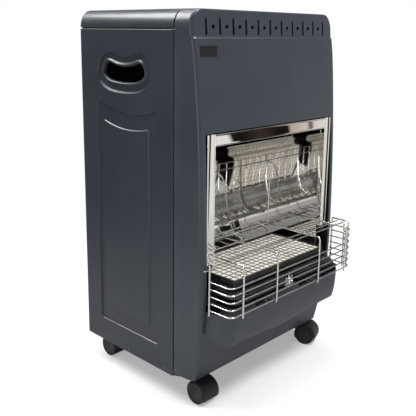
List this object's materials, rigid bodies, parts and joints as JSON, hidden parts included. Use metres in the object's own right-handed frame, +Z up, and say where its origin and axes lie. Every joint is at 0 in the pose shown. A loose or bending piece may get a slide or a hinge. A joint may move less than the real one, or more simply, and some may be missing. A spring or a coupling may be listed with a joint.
{
  "type": "portable gas cabinet heater",
  "caption": "Portable gas heater: slate steel cabinet on casters, tall curved front with a bright-trimmed window, ceramic burner, polished reflector, wire guard and rear bottle bay.",
  "frame": {"origin": "under the middle of the whole heater, on the floor", "axes": "+Z up, +X to the right seen from the front, the front faces -Y"},
  "size_m": [0.42, 0.488, 0.7227],
  "materials": {
    "cabinet_steel": "satin dark slate powder coat",
    "moulded_front": "satin dark slate",
    "black_steel": "matt black",
    "burner_black": "heat-resistant matt black",
    "zinc_steel": "zinc plated",
    "plate_black": "matt black",
    "bright_trim": "bright",
    "reflector": "polished",
    "guard_wire": "bright nickel plated wire",
    "heat_wire": "heat-resistant wire",
    "ceramic": "matt unglazed ceramic",
    "porcelain": "glazed white",
    "brass_fittings": "satin",
    "pipe_steel": "drawn tube",
    "well_plastic": "textured black",
    "knob_plastic": "semi-gloss black",
    "caster_plastic": "fine-grained black",
    "caster_tread": "smooth black"
  },
  "bodies": {
    "cabinet": {"base_tray": "black_steel", "side_panel_right": "cabinet_steel", "side_panel_left": "cabinet_steel", "top_cover": "cabinet_steel", "rear_rail": "zinc_steel", "heat_shield": "zinc_steel", "front_fascia": "moulded_front", "blank_plate": "plate_black", "window_post_left": "bright_trim", "window_post_right": "bright_trim", "window_top_band": "bright_trim", "lower_apron": "moulded_front", "burner_shelf": "black_steel", "burner_box": "burner_black", "ceramic_plaque_1": "ceramic", "ceramic_plaque_2": "ceramic", "ceramic_plaque_3": "ceramic", "burner_gauze": "heat_wire", "injector_rail": "brass_fittings", "pilot_bracket": "zinc_steel", "pilot_burner": "brass_fittings", "igniter_electrode": "porcelain", "thermocouple": "brass_fittings", "reflector_back": "reflector", "reflector_end_left": "reflector", "reflector_end_right": "reflector", "guard_basket": "guard_wire", "guard_grille": "guard_wire", "control_well": "well_plastic", "gas_valve": "zinc_steel", "hose_tail": "brass_fittings", "gas_pipe": "pipe_steel", "pilot_pipe": "pipe_steel", "igniter_body": "well_plastic", "caster_front_left_stem": "zinc_steel", "caster_front_right_stem": "zinc_steel", "caster_rear_left_stem": "zinc_steel", "caster_rear_right_stem": "zinc_steel"},
    "spindle": {"valve_spindle": "zinc_steel"},
    "knob": {"control_knob": "knob_plastic"},
    "ignition_button": {"igniter_button": "knob_plastic"},
    "back_cover": {"rear_cover": "cabinet_steel"},
    "caster_front_left_fork": {"caster_front_left_hood": "caster_plastic", "caster_front_left_axle": "zinc_steel"},
    "caster_front_left_left_wheel": {"caster_front_left_wheel_left": "caster_tread"},
    "caster_front_left_right_wheel": {"caster_front_left_wheel_right": "caster_tread"},
    "caster_front_right_fork": {"caster_front_right_hood": "caster_plastic", "caster_front_right_axle": "zinc_steel"},
    "caster_front_right_left_wheel": {"caster_front_right_wheel_left": "caster_tread"},
    "caster_front_right_right_wheel": {"caster_front_right_wheel_right": "caster_tread"},
    "caster_rear_left_fork": {"caster_rear_left_hood": "caster_plastic", "caster_rear_left_axle": "zinc_steel"},
    "caster_rear_left_left_wheel": {"caster_rear_left_wheel_left": "caster_tread"},
    "caster_rear_left_right_wheel": {"caster_rear_left_wheel_right": "caster_tread"},
    "caster_rear_right_fork": {"caster_rear_right_hood": "caster_plastic", "caster_rear_right_axle": "zinc_steel"},
    "caster_rear_right_left_wheel": {"caster_rear_right_wheel_left": "caster_tread"},
    "caster_rear_right_right_wheel": {"caster_rear_right_wheel_right": "caster_tread"}
  },
  "joints": [
    {"name": "spindle_push", "type": "slide", "parent": "cabinet", "child": "spindle", "axis": [0, 0, -1], "range_m": [0, 0.003], "stiffness_N_per_m": 1500, "springref_m": -0.001},
    {"name": "knob_turn", "type": "hinge", "parent": "spindle", "child": "knob", "pos_m": [0.132, 0.04, 0.71074], "axis": [0, 0, -1], "range_deg": [0, 200]},
    {"name": "ignition_push", "type": "slide", "parent": "cabinet", "child": "ignition_button", "axis": [0, 0, -1], "range_m": [0, 0.006], "stiffness_N_per_m": 900, "springref_m": -0.001},
    {"name": "back_cover_pull", "type": "slide", "parent": "cabinet", "child": "back_cover", "axis": [0, 1, 0], "range_m": [0, 0.2]},
    {"name": "caster_front_left_swivel", "type": "hinge", "parent": "cabinet", "child": "caster_front_left_fork", "pos_m": [-0.166, -0.13, 0.02124], "axis": [0, 0, 1], "continuous": true},
    {"name": "caster_front_left_left_spin", "type": "hinge", "parent": "caster_front_left_fork", "child": "caster_front_left_left_wheel", "pos_m": [-0.166, -0.151, 0.02124], "axis": [1, 0, 0], "continuous": true},
    {"name": "caster_front_left_right_spin", "type": "hinge", "parent": "caster_front_left_fork", "child": "caster_front_left_right_wheel", "pos_m": [-0.166, -0.151, 0.02124], "axis": [1, 0, 0], "continuous": true},
    {"name": "caster_front_right_swivel", "type": "hinge", "parent": "cabinet", "child": "caster_front_right_fork", "pos_m": [0.166, -0.13, 0.02124], "axis": [0, 0, 1], "continuous": true},
    {"name": "caster_front_right_left_spin", "type": "hinge", "parent": "caster_front_right_fork", "child": "caster_front_right_left_wheel", "pos_m": [0.17318, -0.14973, 0.02124], "axis": [0.9397, 0.342, 0], "continuous": true},
    {"name": "caster_front_right_right_spin", "type": "hinge", "parent": "caster_front_right_fork", "child": "caster_front_right_right_wheel", "pos_m": [0.17318, -0.14973, 0.02124], "axis": [0.9397, 0.342, 0], "continuous": true},
    {"name": "caster_rear_left_swivel", "type": "hinge", "parent": "cabinet", "child": "caster_rear_left_fork", "pos_m": [-0.166, 0.091, 0.02124], "axis": [0, 0, 1], "continuous": true},
    {"name": "caster_rear_left_left_spin", "type": "hinge", "parent": "caster_rear_left_fork", "child": "caster_rear_left_left_wheel", "pos_m": [-0.166, 0.112, 0.02124], "axis": [1, 0, 0], "continuous": true},
    {"name": "caster_rear_left_right_spin", "type": "hinge", "parent": "caster_rear_left_fork", "child": "caster_rear_left_right_wheel", "pos_m": [-0.166, 0.112, 0.02124], "axis": [1, 0, 0], "continuous": true},
    {"name": "caster_rear_right_swivel", "type": "hinge", "parent": "cabinet", "child": "caster_rear_right_fork", "pos_m": [0.166, 0.091, 0.02124], "axis": [0, 0, 1], "continuous": true},
    {"name": "caster_rear_right_left_spin", "type": "hinge", "parent": "caster_rear_right_fork", "child": "caster_rear_right_left_wheel", "pos_m": [0.166, 0.112, 0.02124], "axis": [1, 0, 0], "continuous": true},
    {"name": "caster_rear_right_right_spin", "type": "hinge", "parent": "caster_rear_right_fork", "child": "caster_rear_right_right_wheel", "pos_m": [0.166, 0.112, 0.02124], "axis": [1, 0, 0], "continuous": true}
  ]
}
